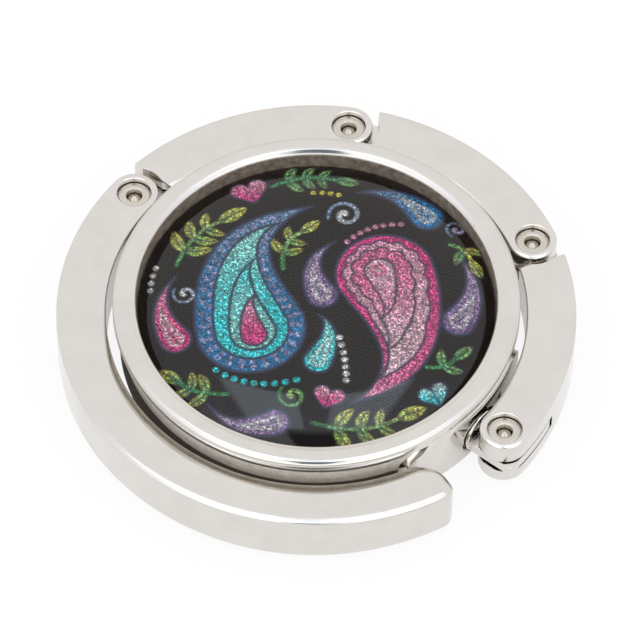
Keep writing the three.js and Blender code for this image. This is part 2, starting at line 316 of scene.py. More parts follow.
def combine(piece, other, how):
    """The piece is joined with the other, cut by it, or kept where both are. The other is used up."""
    pick(piece)
    cut = piece.modifiers.new("combine", "BOOLEAN")
    cut.operation, cut.solver, cut.object = how, "EXACT", other
    bpy.ops.object.modifier_apply(modifier=cut.name)
    bpy.data.objects.remove(other, do_unlink=True)
    edit()
    bpy.ops.mesh.remove_doubles(threshold=WELD)
    bpy.ops.mesh.dissolve_degenerate(threshold=WELD)
    return leave(piece)


def subtract(piece, *cutters):
    for cutter in cutters:
        combine(piece, cutter, "DIFFERENCE")
    return piece


def join(piece, *others):
    for other in others:
        combine(piece, other, "UNION")
    return piece


def keep_side(piece, towards, point=(0.0, 0.0)):
    """The piece is cut by an upright plane, and the side that a direction points to is kept and closed."""
    edit(piece)
    bpy.ops.mesh.bisect(plane_co=(point[0] * MM, point[1] * MM, 0.0), plane_no=(*towards, 0.0),
                        use_fill=True, clear_inner=True, threshold=DOUBLED)
    return leave(piece)


def turn_about_axis(piece, degrees):
    pick(piece)
    piece.rotation_euler = (0.0, 0.0, math.radians(degrees))
    return apply_place(piece)


def soften(piece):
    """Sharp edges get a small round, as tumbling leaves them."""
    edit(piece)
    bpy.ops.mesh.dissolve_limited(angle_limit=math.radians(FLAT_ANGLE))
    leave(piece)
    bevel = piece.modifiers.new("edge round", "BEVEL")
    bevel.width = EDGE_ROUND * MM
    bevel.segments = 2
    bevel.limit_method = "ANGLE"
    bevel.angle_limit = math.radians(EDGE_ANGLE)
    bevel.use_clamp_overlap = False
    bpy.ops.object.modifier_apply(modifier=bevel.name)
    return piece


def smooth(piece, angle=35.0):
    """Smooth shading over small angles, with flats kept flat."""
    pick(piece)
    bpy.ops.object.shade_smooth_by_angle(angle=math.radians(angle))
    weighted = piece.modifiers.new("flats", "WEIGHTED_NORMAL")
    weighted.mode = "FACE_AREA"
    weighted.weight = 80
    weighted.keep_sharp = True
    bpy.ops.object.modifier_apply(modifier=weighted.name)
    return piece


def copy_of(piece, name):
    pick(piece)
    bpy.ops.object.duplicate()
    return named(name)


def spots_of(piece):
    """The places of the piece's points, in a row each."""
    spots = np.empty(len(piece.data.vertices) * 3)
    piece.data.vertices.foreach_get("co", spots)
    return spots.reshape(-1, 3)


def move_spots(piece, spots):
    piece.data.vertices.foreach_set("co", spots.ravel())
    piece.data.update()


def at(radius, degrees):
    angle = math.radians(degrees)
    return (radius * math.cos(angle), radius * math.sin(angle))


def corner(x, y, size, first, steps):
    """Points on a quarter round in place of an outline's corner at (x, y), from a first angle on."""
    inset = [math.copysign(size, part) for part in at(1.0, first + 45)]
    spokes = [at(size, first + 90 * step / steps) for step in range(steps + 1)]
    return [(x - inset[0] + a, y - inset[1] + b) for a, b in spokes]


def bent(start, bend, stop, steps):
    """Points on a curve from start to stop that leans to the bend."""
    return curve((start, bend, stop), steps)


def rounded(start, bend, stop):
    """Points on a true round between two tangents that meet at the bend."""
    towards_bend = [tuple(a + 0.55 * (b - a) for a, b in zip(end, bend)) for end in (start, stop)]
    return curve((start, *towards_bend, stop), 10)


def curve(handles, steps):
    """Points on a curve from the first handle to the last that leans to those between them."""
    points = []
    for step in range(steps + 1):
        row = handles
        while len(row) > 1:
            row = [tuple(a * (1 - step / steps) + b * step / steps for a, b in zip(first, second))
                   for first, second in zip(row, row[1:])]
        points.append(row[0])
    return points


def edge_arc(centre, radius, first, last, steps):
    """Points (in, down) on the round of a top edge, from one slope to another."""
    slopes = [first + (last - first) * step / steps for step in range(steps + 1)]
    return [(centre[0] - radius * math.sin(slope), centre[1] - radius * math.cos(slope))
            for slope in slopes]


def worn(crown, edge_round):
    """A top edge as tumbling wears it: (in, down) from the upright face to the flat, a round that runs out
    in a crown."""
    tilt = math.radians(CROWN_TILT)
    crown_radius = crown / math.sin(tilt)
    spare = crown_radius - edge_round
    inmost = edge_round + crown - edge_round * math.sin(tilt)
    centre = (inmost - spare * math.sin(tilt), crown_radius - spare * math.cos(tilt))
    return (edge_arc(centre, edge_round, math.pi / 2, tilt, ROUND_STEPS)
            + edge_arc((inmost, crown_radius), crown_radius, tilt, 0.0, CROWN_STEPS)[1:])


def finger_bevel(width):
    """A flat bevel on a top edge, softened at both ends, with as many points as a worn edge."""
    slope = math.atan2(FINGER_BEVEL_DEPTH, width)
    length = math.hypot(FINGER_BEVEL_DEPTH, width)
    lower_reach = min(0.22, 0.45 * length)
    upper_reach = min(0.1, 0.3 * length)
    lower_round = lower_reach / math.tan((math.pi / 2 - slope) / 2)
    upper_round = upper_reach / math.tan(slope / 2)
    lower_centre = (lower_round, FINGER_BEVEL_DEPTH + lower_reach)
    return (edge_arc(lower_centre, lower_round, math.pi / 2, slope, ROUND_STEPS)
            + edge_arc((width + upper_reach, upper_round), upper_round, slope, 0.0, CROWN_STEPS - 1))


def eased(value, start, stop):
    """A share that runs smoothly from 0 at the start to 1 at the stop."""
    share = min(1.0, max(0.0, (value - start) / (stop - start)))
    return share * share * (3 - 2 * share)


def blend(first, second, share):
    """An edge between two edges of as many points."""
    return [((1 - share) * a + share * c, (1 - share) * b + share * d)
            for (a, b), (c, d) in zip(first, second)]


def lofted(name, outline, levels):
    """A solid drawn up level by level over an outline that runs anticlockwise. Each level is a row of
    (in, height) pairs, one for each point of the outline: how far the point is drawn in, and how high it
    lies. The first and last points keep to the line between them."""
    draw_outline(outline, 0.0)
    piece = apply_place(named(name))
    plan = np.array(outline)
    along = np.roll(plan, -1, axis=0) - np.roll(plan, 1, axis=0)
    along[0], along[-1] = (0.0, 1.0), (0.0, -1.0)
    along /= np.linalg.norm(along, axis=1)[:, None]
    inward = np.column_stack([-along[:, 1], along[:, 0]])
    places = plan
    for number, level in enumerate(levels):
        bpy.ops.object.mode_set(mode="EDIT")
        if number == 0:
            bpy.ops.mesh.select_all(action="SELECT")
        else:
            bpy.ops.mesh.extrude_region_move()
        leave(piece)
        spots = spots_of(piece)
        chosen = np.empty(len(spots), dtype=bool)
        piece.data.vertices.foreach_get("select", chosen)
        rows = np.flatnonzero(chosen)
        offsets = spots[rows, None, :2] / MM - places[None, :, :]
        nearest = np.argmin((offsets ** 2).sum(axis=2), axis=1)
        drawn = np.array(level)
        places = plan + inward * drawn[:, :1]
        spots[rows, :2] = places[nearest] * MM
        spots[rows, 2] = drawn[nearest, 1] * MM
        move_spots(piece, spots)
    return face_outwards(piece)


# ---- finishes

def material(name):
    """A new material, its nodes and its shader."""
    finish = bpy.data.materials.new(name)
    finish.use_nodes = True
    return finish, finish.node_tree, finish.node_tree.nodes["Principled BSDF"]


def wire(tree, made, inputs):
    """A node's inputs are set to values or linked to other nodes' outputs."""
    for key, value in inputs.items():
        if isinstance(value, bpy.types.NodeSocket):
            tree.links.new(value, made.inputs[key])
        else:
            made.inputs[key].default_value = value
    return made


def node(tree, kind, inputs=None, **settings):
    """A new shader node with its settings and inputs."""
    made = tree.nodes.new("ShaderNode" + kind)
    for key, value in settings.items():
        setattr(made, key, value)
    return wire(tree, made, inputs or {})


def maths(tree, operation, first, second=0.0, clamp=False):
    return node(tree, "Math", {0: first, 1: second}, operation=operation, use_clamp=clamp).outputs[0]


def times(tree, first, second, clamp=False):
    return maths(tree, "MULTIPLY", first, second, clamp)


def ramp(tree, factor, stops):
    """A colour ramp: stops are (place, colour) with a colour of one or three numbers."""
    made = node(tree, "ValToRGB", {"Fac": factor})
    elements = made.color_ramp.elements
    for index, (place, colour) in enumerate(stops):
        element = elements[index] if index < 2 else elements.new(place)
        element.position = place
        element.color = (*(colour if isinstance(colour, tuple) else (colour, colour, colour)), 1.0)
    return made.outputs["Color"]


def mixed(tree, factor, first, second, mode="MIX"):
    """A mix of two colours, each of them three numbers or a node's output."""
    first, second = (value if isinstance(value, bpy.types.NodeSocket) else (*value, 1.0)
                     for value in (first, second))
    return node(tree, "Mix", {0: factor, 6: first, 7: second}, data_type="RGBA", blend_type=mode,
                clamp_factor=True).outputs[2]


def spread(tree, value, first, last, to_first=0.0, to_last=1.0):
    """A value's run from first to last becomes a run between two others."""
    inputs = {"Value": value, "From Min": first, "From Max": last, "To Min": to_first, "To Max": to_last}
    return node(tree, "MapRange", inputs).outputs[0]


def noise(tree, place, per_mm, detail=2.0, roughness=0.5):
    inputs = {"Vector": place, "Scale": per_mm / MM, "Detail": detail, "Roughness": roughness}
    return node(tree, "TexNoise", inputs).outputs["Fac"]


def bumped(tree, height, strength, depth, **further):
    """A surface roughened by a height, to a depth in millimetres."""
    inputs = {"Height": height, "Strength": strength, "Distance": depth * MM, **further}
    return node(tree, "Bump", inputs).outputs[0]


def object_place(tree):
    return node(tree, "TexCoord").outputs["Object"]


def nickel(name, bright, dull, low_gloss, high_gloss):
    """Tumbled nickel plating: bright, with faint clouds, a fine grain, a few chips and faint hairlines."""
    finish, tree, shader = material(name)
    place = object_place(tree)
    clouds = noise(tree, place, 0.35, 4.0, 0.6)
    fine = noise(tree, place, 6.0, 3.0, 0.6)
    specks = node(tree, "TexVoronoi", {"Vector": place, "Scale": 0.3 / MM}).outputs
    chosen = node(tree, "SeparateColor", {"Color": specks["Color"]}).outputs["Red"]
    chip = times(tree, maths(tree, "LESS_THAN", specks["Distance"], 0.045),
                 maths(tree, "GREATER_THAN", chosen, 0.72))
    stretched = node(tree, "Mapping", {"Vector": place, "Rotation": (0.0, 0.0, 0.6),
                                       "Scale": (1.0, 26.0, 1.0)}).outputs[0]
    hairline = ramp(tree, noise(tree, stretched, 0.22), [(0.7, 0.0), (0.73, 1.0)])
    mark = maths(tree, "MAXIMUM", times(tree, chip, 0.7), times(tree, hairline, 0.08))
    tone = mixed(tree, ramp(tree, clouds, [(0.35, 0.0), (0.7, 1.0)]), bright, dull)
    satin = maths(tree, "ADD", times(tree, clouds, 0.6), times(tree, fine, 0.4))
    wire(tree, shader, {"Base Color": mixed(tree, mark, tone, (0.3, 0.26, 0.22)), "Metallic": 1.0,
                        "Roughness": spread(tree, satin, 0.35, 0.65, low_gloss, high_gloss),
                        "Normal": bumped(tree, fine, 0.02, 0.02)})
    return finish


def cast_wall_and_shade(finish):
    """The base's plating, with the wall under the rim left as cast and rough, a painted shade darkening its
    foot to stand for the shade deep in the gap under the ring, and glue on the wall of the print's recess."""
    tree = finish.node_tree
    shader = tree.nodes["Principled BSDF"]
    plated, gloss, grain = (shader.inputs[key].links[0].from_socket
                            for key in ("Base Color", "Roughness", "Normal"))
    place = object_place(tree)
    parts = node(tree, "SeparateXYZ", {0: place}).outputs
    flat = node(tree, "CombineXYZ", {0: parts[0], 1: parts[1]}).outputs[0]
    reach = node(tree, "VectorMath", {0: flat}, operation="LENGTH").outputs["Value"]
    wall = times(tree, maths(tree, "LESS_THAN", reach, CAST_OUTER * MM),
                 times(tree, maths(tree, "GREATER_THAN", reach, CAST_INNER * MM),
                       maths(tree, "LESS_THAN", parts[2], CAST_TOP * MM)))
    recess = times(tree, maths(tree, "LESS_THAN", reach, GLUE_OUTER * MM),
                   maths(tree, "GREATER_THAN", parts[2], GLUE_BOTTOM * MM))
    mottle = noise(tree, place, 1.6, 4.0, 0.7)
    # painted shade: below this height the wall's colour runs to dark brown, standing for the shade deep in
    # the gap under the ring
    rise = spread(tree, parts[2], PAINTED_SHADE_TOP * MM, (PAINTED_SHADE_TOP + 0.2) * MM)
    cast = mixed(tree, rise, (0.13, 0.1, 0.075),
                 ramp(tree, mottle, [(0.3, (0.72, 0.66, 0.57)), (0.65, (0.93, 0.88, 0.81))]))
    glued = ramp(tree, mottle, [(0.35, (0.16, 0.13, 0.1)), (0.65, (0.34, 0.29, 0.24))])
    either = maths(tree, "MAXIMUM", wall, recess)
    wire(tree, shader, {"Base Color": mixed(tree, recess, mixed(tree, wall, plated, cast), glued),
                        "Metallic": maths(tree, "SUBTRACT", 1.0, times(tree, either, 0.8)),
                        "Roughness": spread(tree, either, 0.0, 1.0, gloss, 0.7),
                        "Normal": bumped(tree, mottle, times(tree, wall, 0.7), 0.15, Normal=grain)})
    return finish


PLATING = ((0.74, 0.715, 0.68), (0.7, 0.675, 0.64), 0.09, 0.17)
plating = nickel("bright nickel", *PLATING)
base_plating = cast_wall_and_shade(nickel("bright nickel of the base", *PLATING))
rivet_plating = nickel("rivet nickel", (0.66, 0.62, 0.56), (0.58, 0.54, 0.48), 0.18, 0.32)


def resin_finish():
    """Clear resin that lets the lamps through to the print."""
    finish, tree, shader = material("clear resin")
    place = object_place(tree)
    wire(tree, shader, {"Base Color": (1.0, 1.0, 1.0, 1.0), "Transmission Weight": 1.0, "IOR": 1.45,
                        "Specular IOR Level": 0.33,
                        "Roughness": spread(tree, noise(tree, place, 0.5, 3.0), 0.4, 0.7, 0.01, 0.03),
                        "Normal": bumped(tree, noise(tree, place, 0.12, 1.0), 0.4, 0.05)})
    clear = node(tree, "BsdfTransparent")
    path = node(tree, "LightPath").outputs
    passed = maths(tree, "MAXIMUM", path["Is Shadow Ray"], path["Is Diffuse Ray"])
    both = node(tree, "MixShader", {0: passed, 1: shader.outputs[0], 2: clear.outputs[0]})
    wire(tree, tree.nodes["Material Output"], {"Surface": both.outputs[0]})
    return finish


def rubber_finish():
    finish, tree, shader = material("black rubber")
    place = object_place(tree)
    fine = noise(tree, place, 5.0, 4.0, 0.65)
    dust = ramp(tree, noise(tree, place, 0.4, 3.0),
                [(0.4, (0.012, 0.012, 0.013)), (0.75, (0.03, 0.029, 0.028))])
    wire(tree, shader, {"Base Color": dust, "Roughness": spread(tree, fine, 0.0, 1.0, 0.62, 0.9),
                        "Normal": bumped(tree, fine, 0.5, 0.08)})
    return finish


def tape_finish():
    finish, tree, shader = material("adhesive tape")
    fibre = noise(tree, object_place(tree), 3.0, 4.0, 0.6)
    tint = ramp(tree, fibre, [(0.3, (0.68, 0.66, 0.58)), (0.7, (0.82, 0.8, 0.74))])
    wire(tree, shader, {"Base Color": tint, "Roughness": 0.7})
    return finish


def print_finish():
    """The print: its painted colours, broken into glitter where they are bright. The grains' tone varies at
    random, and above white it is painted glints.
    """
    finish, tree, shader = material("glitter print")
    paint = node(tree, "Attribute", attribute_name="print_colour").outputs["Color"]
    grains = node(tree, "TexVoronoi", {"Vector": object_place(tree), "Scale": 8.0 / MM})
    parts = node(tree, "SeparateColor", {"Color": grains.outputs["Color"]}).outputs
    # grain tone and painted glints: each grain's colour is scaled at random, below 1 as the flakes' own
    # tone, above 1 as painted glints brighter than white
    level = ramp(tree, parts["Red"], [(0.0, 0.2), (0.45, 0.6), (0.8, 1.1), (1.0, 2.4)])
    light = node(tree, "RGBToBW", {"Color": paint}).outputs[0]
    flake = times(tree, light, 6.0, clamp=True)
    faint = times(tree, flake, 0.3)
    wire(tree, shader, {"Base Color": mixed(tree, flake, paint, level, "MULTIPLY"), "Roughness": 0.4,
                        "Specular IOR Level": 0.05, "Metallic": faint,
                        "Normal": bumped(tree, parts["Green"], faint, 0.05)})
    return finish


# ---- the base

def spread_foot(boss):
    """The boss widens at both ends from under the rim down to its foot."""
    edit(boss)
    for step in range(BOSS_SPREAD_STEPS):
        height = BOSS_SPREAD_TO + (BOSS_SPREAD_FROM - BOSS_SPREAD_TO) * step / BOSS_SPREAD_STEPS
        bpy.ops.mesh.select_all(action="SELECT")
        bpy.ops.mesh.bisect(plane_co=(0.0, 0.0, height * MM), plane_no=(0.0, 0.0, 1.0), threshold=DOUBLED)
    leave(boss)
    spots = spots_of(boss)
    reach = np.hypot(spots[:, 0], spots[:, 1])
    angle = np.arctan2(spots[:, 1], spots[:, 0])
    share = np.minimum((BOSS_SPREAD_FROM - spots[:, 2] / MM) / (BOSS_SPREAD_FROM - BOSS_SPREAD_TO), 1.0)
    bent_share = np.where(share > 0.0, np.sin(share * math.pi / 2), 1.5 * share)
    angle *= 1.0 + (BOSS_FOOT_ANGLE / BOSS_HALF_ANGLE - 1.0) * bent_share
    spots[:, 0], spots[:, 1] = reach * np.cos(angle), reach * np.sin(angle)
    move_spots(boss, spots)


def make_boss():
    """The block that the swivel turns in: it blends into the wall at both ends, and up into the rim."""
    half, flare = BOSS_HALF_ANGLE, BOSS_HALF_ANGLE + BOSS_FLARE
    blends = [bent(at(WALL_RADIUS, flare * side), at(WALL_RADIUS, half * side),
                   at(BOSS_RADIUS, half * side), 6) for side in (-1, 1)]
    points = [at(WALL_RADIUS - BOSS_ROOT, flare * (1 - step / 8)) for step in range(17)]
    points.append(at(WALL_RADIUS - 0.02, -flare))
    points += blends[0][1:]
    points += [at(BOSS_RADIUS, -half + half * step / 10) for step in range(1, 21)]
    points += blends[1][-2::-1]
    points.append(at(WALL_RADIUS - 0.02, flare))
    befores = [BOSS_RADIUS] + [radius for height, radius in BOSS_CAP]
    cap = [(height, radius / before) for (height, radius), before in zip(BOSS_CAP, befores)]
    boss = outlined("boss", points, BOSS_UNDERSIDE, RIM_UNDERSIDE, cap)
    spread_foot(boss)
    return boss


def make_base():
    wall, bezel, recess = WALL_RADIUS, BEZEL_INNER_RADIUS, PRINT_RECESS_RADIUS
    upper, lower = RIM_TOP - LIP_STEP, RIM_TOP - LIP_DROP
    base = turned("base_casting", [
        (FOOT_INNER_RADIUS, PAD_RECESS_CEILING), (FOOT_INNER_RADIUS, FOOT_UNDERSIDE),
        (wall - FOOT_CHAMFER, FOOT_UNDERSIDE), (wall, FOOT_UNDERSIDE + FOOT_CHAMFER), (wall, RIM_UNDERSIDE),
        *corner(RIM_RADIUS, RIM_UNDERSIDE, RIM_UNDER_ROUND, -90, 3),
        *[(RIM_RADIUS - drawn, RIM_TOP - down) for drawn, down in worn(RIM_CROWN, RIM_ROUND)],
        (bezel + 0.04, RIM_TOP), (bezel - 0.02, RIM_TOP - 0.02), (bezel - 0.25, upper),
        (bezel - 0.3, upper - 0.01), (recess + 0.04, lower), (recess, lower - 0.04), (recess, PRINT_SEAT)])
    join(base, make_boss())
    seat = along_swivel("seat", [(SEAT_RADIUS, SEAT_FACE), (SEAT_RADIUS, BOSS_RADIUS + PAST)])
    bore = along_swivel("bore", [(SHANK_BORE, POCKET_INNER), (SHANK_BORE, BOSS_RADIUS + PAST)])
    pocket = block("pocket", (POCKET_INNER, -POCKET_HALF_WIDTH, PAD_RECESS_CEILING - PAST),
                   (POCKET_OUTER, POCKET_HALF_WIDTH, POCKET_TOP))
    return smooth(subtract(base, seat, bore, pocket))


def make_resin():
    outline = [(PRINT_RADIUS, PRINT_TOP)]
    for step in range(RESIN_STEPS):
        share = math.cos(math.pi / 2 * step / RESIN_STEPS)
        height = PRINT_TOP + RESIN_EDGE + RESIN_RISE * (1 - share ** RESIN_POWER)
        inside = PRINT_RADIUS * (1 - share)
        roll = max(0.0, 1 - inside / RESIN_SHOULDER)
        outline.append((PRINT_RADIUS * share, height - RESIN_ROLL * (1 - math.sqrt(1 - roll ** 2))))
    return smooth(turned("resin_pour", outline), 50.0)


def make_pad():
    outline = [(PAD_RADIUS - PAD_ROUND, 0.0)]
    outline += corner(PAD_RADIUS, 0.0, PAD_ROUND, -90, 4)[1:]
    outline += [(PAD_RADIUS, PAD_THICKNESS)]
    return smooth(turned("rubber_pad", outline))


# ---- the print

def make_print():
    """A fine flat grid drawn in to a disc, given its thickness, and painted point by point."""
    bpy.ops.object.select_all(action="DESELECT")
    bpy.ops.mesh.primitive_grid_add(x_subdivisions=PRINT_STEPS, y_subdivisions=PRINT_STEPS, size=2.0)
    disc = named("print_sheet")
    spots = spots_of(disc)
    across, along = spots[:, 0].copy(), spots[:, 1].copy()
    spots[:, 0] = across * np.sqrt(1 - along ** 2 / 2) * PRINT_RADIUS * MM
    spots[:, 1] = along * np.sqrt(1 - across ** 2 / 2) * PRINT_RADIUS * MM
    spots[:, 2] = PRINT_TOP * MM
    move_spots(disc, spots)
    edit(disc)
    bpy.ops.mesh.region_to_loop()
    draw_up(PRINT_SEAT - PRINT_TOP)
    bpy.ops.mesh.edge_face_add()
    face_outwards(leave(disc))
    points = spots_of(disc) / MM
    turn = math.radians(-PLAN_TURN)
    right = points[:, 0] * math.cos(turn) - points[:, 1] * math.sin(turn)
    back = points[:, 0] * math.sin(turn) + points[:, 1] * math.cos(turn)
    colour = paint_print(right, back)
    paint = disc.data.color_attributes.new(name="print_colour", type="FLOAT_COLOR", domain="POINT")
    paint.data.foreach_set("color", np.column_stack([colour, np.ones(len(colour))]).ravel())
    return disc


# Colours of the print, from its inks' light values
BLACK = (0.007, 0.004, 0.003)
LINE = (0.03, 0.035, 0.075)
MAGENTA = (0.62, 0.04, 0.22)
PINK = (0.6, 0.24, 0.36)
ROSE = (0.66, 0.46, 0.52)
PURPLE = (0.2, 0.12, 0.28)
LILAC = (0.42, 0.32, 0.48)
BLUE = (0.015, 0.16, 0.36)
STEEL = (0.14, 0.24, 0.38)
TURQUOISE = (0.025, 0.58, 0.62)
SEA = (0.26, 0.6, 0.56)
GREEN = (0.05, 0.3, 0.1)
LEAF = (0.3, 0.44, 0.14)
YELLOW = (0.58, 0.52, 0.06)
SILVER = (0.6, 0.6, 0.58)


def stroke(right, back, path):
    """How far each point lies outside a stroke through (right, back, half width) points, and how far
    along it."""
    gap = np.full(len(right), 1e3)
    along = np.zeros(len(right))
    widest = max(half_width for x, y, half_width in path) + 0.4
    low = [min(point[axis] for point in path) - widest for axis in (0, 1)]
    high = [max(point[axis] for point in path) + widest for axis in (0, 1)]
    close = (right > low[0]) & (right < high[0]) & (back > low[1]) & (back < high[1])
    x, y, best, share_there = right[close], back[close], gap[close], along[close]
    for index, (first, second) in enumerate(zip(path, path[1:])):
        run = (second[0] - first[0], second[1] - first[1])
        share = ((x - first[0]) * run[0] + (y - first[1]) * run[1]) / (run[0] ** 2 + run[1] ** 2)
        share = np.clip(share, 0.0, 1.0)
        here = np.hypot(x - first[0] - share * run[0], y - first[1] - share * run[1])
        here -= first[2] + (second[2] - first[2]) * share
        share_there = np.where(here < best, (index + share) / (len(path) - 1), share_there)
        best = np.minimum(best, here)
    gap[close], along[close] = best, share_there
    return gap, along


def drop(bulb, bend, tip, half_width, power=1.15):
    """The path of a curved drop, from the middle of its bulb to its tip."""
    steps = 36
    path = bent(bulb, bend, tip, steps)
    return [(x, y, half_width * (1 - step / steps) ** power + 0.1) for step, (x, y) in enumerate(path)]


def blade(base, bend, tip, half_width):
    """The path of a leaf, pointed at both ends."""
    steps = 14
    return [(x, y, half_width * math.sin(math.pi * (step / steps) ** 0.85) + 0.05)
            for step, (x, y) in enumerate(bent(base, bend, tip, steps))]


def line(start, bend, tip, half_width, steps=14):
    return [(x, y, half_width) for x, y in bent(start, bend, tip, steps)]


def ahead_of(x, y, reach, angle):
    """The point that lies a way off at an angle, in radians."""
    return (x + reach * math.cos(angle), y + reach * math.sin(angle))


def paint_print(right, back):
    """The print's colours: nested drops, sprigs, hearts, scrolls and dots on black."""
    grain = np.random.default_rng(5)
    colour = np.tile(np.array(BLACK), (len(right), 1))

    def trace(path):
        return stroke(right, back, path)

    def lay(gap, first, second, share, edge=0.16):
        """One zone: its first colour runs into its second, within a dark line."""
        speckle = grain.normal(0.0, 0.16, len(right))
        share = np.clip(share + speckle, 0.0, 1.0)[:, None]
        fill = np.array(first) * (1 - share) + np.array(second) * share
        rim = np.clip((gap + 2 * edge) / 0.12, 0.0, 1.0)[:, None] if edge else np.zeros((len(right), 1))
        fill = fill * (1 - rim) + np.array(LINE) * rim
        inside = np.clip(0.5 - gap / 0.12, 0.0, 1.0)[:, None]
        colour[:] = colour * (1 - inside) + fill * inside

    def fill(path, first, second, run=1.0, edge=0.16):
        """A stroke, whose colours run along its path."""
        gap, along = trace(path)
        lay(gap, first, second, along * run, edge)
        return gap

    def dots(places, half_width, first, second):
        for x, y in places:
            gap = np.hypot(right - x, back - y) - half_width
            lay(gap, first, second, gap / half_width + 1.0, 0.0)

    def leaf(base, bend, tip, half_width, first, second):
        fill(blade(base, bend, tip, half_width), first, second, edge=0.0)
        fill(line(base, bend, tip, 0.07, 8), LINE, LINE, edge=0.0)

    def sprig(base, bend, tip, leaves, length, first, second):
        """A stem with pairs of leaves and one at its end."""
        fill(line(base, bend, tip, 0.16), GREEN, first, edge=0.0)
        stem = bent(base, bend, tip, leaves + 1)
        for index in range(1, leaves + 1):
            x, y = stem[index]
            ahead = math.atan2(stem[index + 1][1] - y, stem[index + 1][0] - x)
            size = length * (1.0 - 0.12 * index)
            for side in (-1, 1):
                lean = ahead + side * 0.95
                leaf((x, y), ahead_of(x, y, size * 0.55, lean + side * 0.3), ahead_of(x, y, size, lean),
                     size * 0.2, first if side > 0 else GREEN, second)
        x, y = stem[-1]
        ahead = math.atan2(y - stem[-2][1], x - stem[-2][0])
        end = ahead_of(x, y, length, ahead)
        leaf((x, y), ((x + end[0]) / 2, (y + end[1]) / 2), end, length * 0.22, first, second)

    def heart(x, y, size, turn, first, second):
        gap = np.full(len(right), 1e3)
        point = (x + size * 1.5 * math.sin(turn), y - size * 1.5 * math.cos(turn))
        for side in (-1, 1):
            lobe = (x + side * size * 0.62 * math.cos(turn), y + side * size * 0.62 * math.sin(turn))
            steps = 12
            path = [(lobe[0] + (point[0] - lobe[0]) * step / steps,
                     lobe[1] + (point[1] - lobe[1]) * step / steps,
                     size * 0.7 * (1 - step / steps) + 0.05) for step in range(steps + 1)]
            gap = np.minimum(gap, trace(path)[0])
        lay(gap, first, second, (back - y) / size * 0.5 + 0.4, 0.12)

    def scroll(x, y, size, start, turns, hand, half_width, first, second):
        """A stroke that curls in to its middle and ends in a dot."""
        path = []
        for step in range(29):
            share = step / 28
            angle = start + hand * turns * 2 * math.pi * share
            reach = size * (1 - share) ** 0.8 + 0.12
            path.append((*ahead_of(x, y, reach, angle), half_width * (0.55 + 0.75 * share)))
        fill(path, first, second, edge=0.0)

    def rows_of_beads(path, inset, spacing, size, first, second):
        """Beads set side by side along the inside of a drop's edge."""
        def edge(side):
            for before, after in zip(path, path[1:]):
                run = (after[0] - before[0], after[1] - before[1])
                length = math.hypot(*run)
                reach = before[2] - inset
                if reach > size:
                    yield (before[0] - side * run[1] / length * reach,
                           before[1] + side * run[0] / length * reach)

        (x, y, half_width), (next_x, next_y, _) = path[:2]
        start = math.atan2(next_y - y, next_x - x) - math.pi / 2
        bulb = [ahead_of(x, y, half_width - inset, start - math.pi * step / 24) for step in range(1, 24)]
        outline = [*reversed(list(edge(-1))), *bulb, *edge(1)]
        places = [outline[0]]
        for spot in outline:
            if math.dist(spot, places[-1]) >= spacing:
                places.append(spot)
        dots(places, size, first, second)

    # the large turquoise drop, with beads in its blue band
    outer = drop((-5.6, -2.6), (-9.4, 7.6), (-0.4, 10.4), 4.7)
    fill(outer, BLUE, STEEL, 1.3)
    rows_of_beads(outer, 0.66, 0.72, 0.27, LILAC, STEEL)
    rows_of_beads(outer, 1.22, 0.66, 0.2, STEEL, LILAC)
    fill(drop((-5.5, -2.7), (-8.6, 6.4), (-3.2, 8.6), 3.2, 1.25), TURQUOISE, SEA, 1.6)
    fill(drop((-5.4, -3.0), (-7.2, 2.4), (-5.4, 4.6), 2.0, 1.3), SEA, TURQUOISE)
    fill(drop((-5.3, -3.4), (-6.2, -0.4), (-5.2, 1.0), 1.15, 1.2), MAGENTA, ROSE)

    # the large pink drop that faces it, in scalloped bands
    fill(drop((5.9, 3.1), (10.6, -6.6), (3.0, -10.2), 4.3), MAGENTA, PINK, 0.8)
    for middle, bend, tip, half_width, first, second, wave in (
            ((5.8, 3.2), (9.4, -5.0), (5.2, -7.8), 3.3, PINK, ROSE, 13),
            ((5.6, 3.3), (8.0, -2.4), (6.0, -5.0), 2.4, MAGENTA, ROSE, 10),
            ((5.4, 3.5), (6.8, 0.0), (5.6, -1.6), 1.3, ROSE, PINK, 0)):
        part, along = trace(drop(middle, bend, tip, half_width, 1.2))
        scallop = np.abs(np.sin(np.arctan2(back - middle[1], right - middle[0]) * wave / 2))
        lay(part - 0.34 * scallop * (1 - along), first, second, along + 0.3, 0.13)
    dots([(5.3, 3.6)], 0.62, SILVER, MAGENTA)

    # smaller drops
    for bulb, bend, tip, half_width, first, second in (
            ((12.1, -1.6), (14.6, 2.0), (12.0, 5.6), 1.45, PURPLE, LILAC),
            ((0.5, 0.9), (-1.6, 4.6), (1.6, 6.6), 1.35, PURPLE, LILAC),
            ((-11.9, -3.8), (-14.4, -0.2), (-12.0, 2.8), 1.35, MAGENTA, PINK),
            ((0.2, -6.0), (2.0, -2.6), (0.2, -1.2), 1.25, TURQUOISE, SEA),
            ((9.4, 9.6), (7.0, 12.6), (3.4, 12.0), 1.5, BLUE, STEEL),
            ((-3.4, -12.2), (-7.0, -13.4), (-9.0, -10.4), 1.3, PURPLE, LILAC)):
        inside = fill(drop(bulb, bend, tip, half_width), first, second, 1.2) + half_width * 0.52
        lay(inside, SILVER, first, 0.2 - inside, 0.0)

